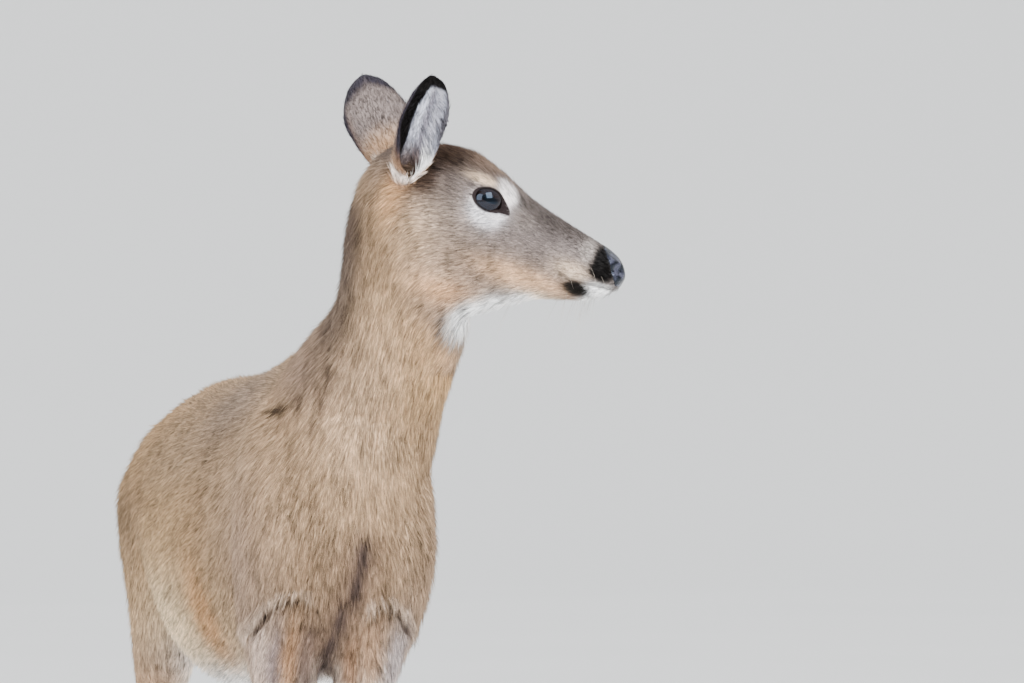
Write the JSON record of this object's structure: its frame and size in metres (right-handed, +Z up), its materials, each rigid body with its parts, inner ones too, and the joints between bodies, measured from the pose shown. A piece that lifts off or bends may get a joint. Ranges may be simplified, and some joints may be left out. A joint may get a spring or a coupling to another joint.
{
  "type": "white-tailed deer",
  "caption": "Young white-tailed doe in winter coat, standing alert with its head turned to its left and both ears raised.",
  "frame": {"origin": "on the ground, under the centre of the model's bounding box", "axes": "+Z up; the body faces -Y, its left side is +X, and the muzzle points to +X because the head is turned left"},
  "size_m": [0.4352, 1.0468, 1.1114],
  "materials": {
    "coat": "matte fur",
    "ear_hair": "matte short fur",
    "tail_hair": "matte long fur",
    "nose_skin": "moist, satin",
    "eye": "wet gloss",
    "horn": "satin horn"
  },
  "bodies": {
    "root": {"trunk": "coat", "neck": "coat", "head": "coat", "nose": "nose_skin", "tail": "tail_hair", "ear_left": "ear_hair", "eye_left": "eye", "foreleg_left": "coat", "forefoot_left": "coat", "hind_leg_left": "coat", "hind_foot_left": "coat", "hoof_fore_left_outer": "horn", "dewclaw_fore_left_outer": "horn", "hoof_fore_left_inner": "horn", "dewclaw_fore_left_inner": "horn", "hoof_hind_left_outer": "horn", "dewclaw_hind_left_outer": "horn", "hoof_hind_left_inner": "horn", "dewclaw_hind_left_inner": "horn", "ear_right": "ear_hair", "eye_right": "eye", "foreleg_right": "coat", "forefoot_right": "coat", "hind_leg_right": "coat", "hind_foot_right": "coat", "hoof_fore_right_outer": "horn", "dewclaw_fore_right_outer": "horn", "hoof_fore_right_inner": "horn", "dewclaw_fore_right_inner": "horn", "hoof_hind_right_outer": "horn", "dewclaw_hind_right_outer": "horn", "hoof_hind_right_inner": "horn", "dewclaw_hind_right_inner": "horn"}
  },
  "joints": []
}
